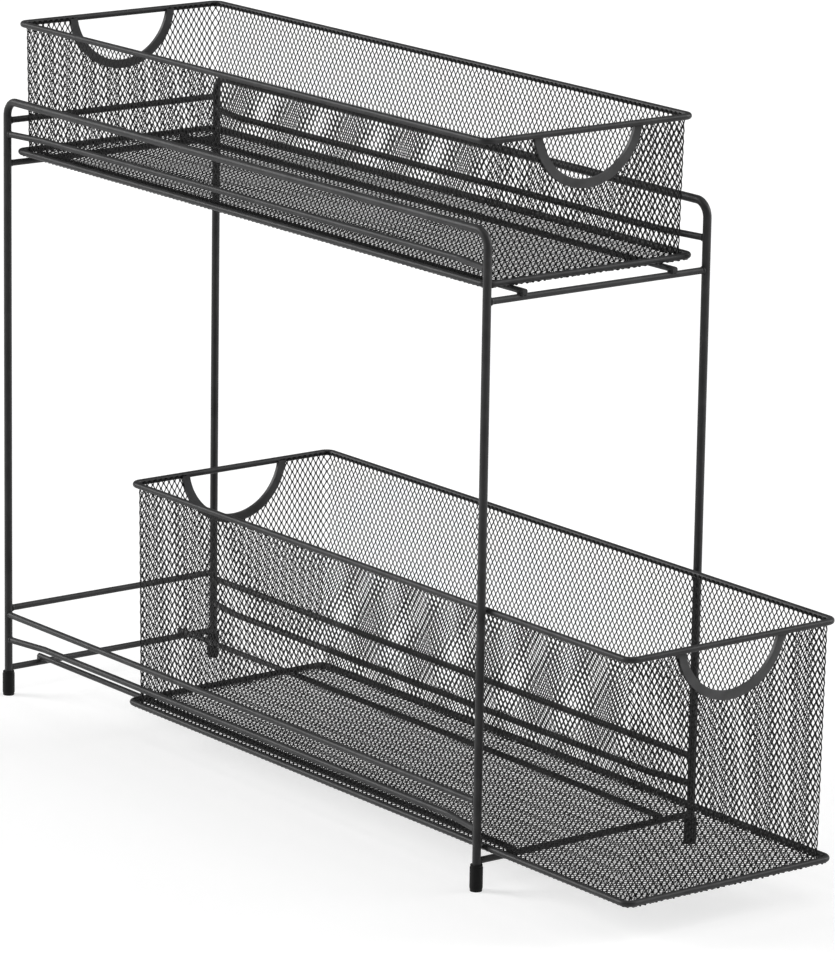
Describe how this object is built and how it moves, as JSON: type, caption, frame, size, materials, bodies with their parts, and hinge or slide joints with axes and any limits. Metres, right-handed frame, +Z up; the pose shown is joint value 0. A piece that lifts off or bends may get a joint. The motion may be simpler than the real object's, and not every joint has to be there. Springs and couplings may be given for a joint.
{
  "type": "pull out cabinet basket",
  "caption": "Narrow wire rack with stacked pull-out baskets of expanded steel mesh, each sliding on two runners between side frames, with half-round hand holes at the ends.",
  "frame": {"origin": "on the ground under the middle of the part's outline, as it stands with the lower basket pulled out 125 mm", "axes": "+Z up; -Y is the front, towards which both baskets pull out; +X to the right as seen from the front"},
  "size_m": [0.1598, 0.5954, 0.4162],
  "materials": {
    "rack_wire": "satin black powder coat",
    "basket_wire": "satin black powder coat",
    "expanded_mesh": "satin black powder coat on expanded steel",
    "binding_strip": "satin dark grey folded strip",
    "foot_cap": "matte black"
  },
  "bodies": {
    "rack": {"side_frame_left": "rack_wire", "side_frame_right": "rack_wire", "foot_front_left": "foot_cap", "foot_front_right": "foot_cap", "foot_back_left": "foot_cap", "foot_back_right": "foot_cap", "lower_side_rail_left": "rack_wire", "lower_side_rail_right": "rack_wire", "lower_back_rail": "rack_wire", "upper_back_rail": "rack_wire", "lower_front_bar": "rack_wire", "lower_back_bar": "rack_wire", "upper_front_bar": "rack_wire", "upper_back_bar": "rack_wire", "lower_runner_left": "rack_wire", "lower_runner_right": "rack_wire", "upper_runner_left": "rack_wire", "upper_runner_right": "rack_wire", "lower_guide_left": "rack_wire", "lower_guide_right": "rack_wire", "upper_guide_left": "rack_wire", "upper_guide_right": "rack_wire"},
    "lower_basket": {"lower_top_rim": "basket_wire", "lower_bottom_rim": "basket_wire", "lower_floor_mesh": "expanded_mesh", "lower_wall_left": "expanded_mesh", "lower_wall_right": "expanded_mesh", "lower_wall_front": "expanded_mesh", "lower_wall_back": "expanded_mesh", "lower_corner_front_left": "expanded_mesh", "lower_corner_front_right": "expanded_mesh", "lower_corner_back_left": "expanded_mesh", "lower_corner_back_right": "expanded_mesh", "lower_binding_front": "binding_strip", "lower_binding_back": "binding_strip"},
    "upper_basket": {"upper_top_rim": "basket_wire", "upper_bottom_rim": "basket_wire", "upper_floor_mesh": "expanded_mesh", "upper_wall_left": "expanded_mesh", "upper_wall_right": "expanded_mesh", "upper_wall_front": "expanded_mesh", "upper_wall_back": "expanded_mesh", "upper_corner_front_left": "expanded_mesh", "upper_corner_front_right": "expanded_mesh", "upper_corner_back_left": "expanded_mesh", "upper_corner_back_right": "expanded_mesh", "upper_binding_front": "binding_strip", "upper_binding_back": "binding_strip"}
  },
  "joints": [
    {"name": "lower_basket_slide", "type": "slide", "parent": "rack", "child": "lower_basket", "axis": [0, -1, 0], "range_m": [-0.125, 0.175]},
    {"name": "upper_basket_slide", "type": "slide", "parent": "rack", "child": "upper_basket", "axis": [0, -1, 0], "range_m": [0, 0.3]}
  ]
}
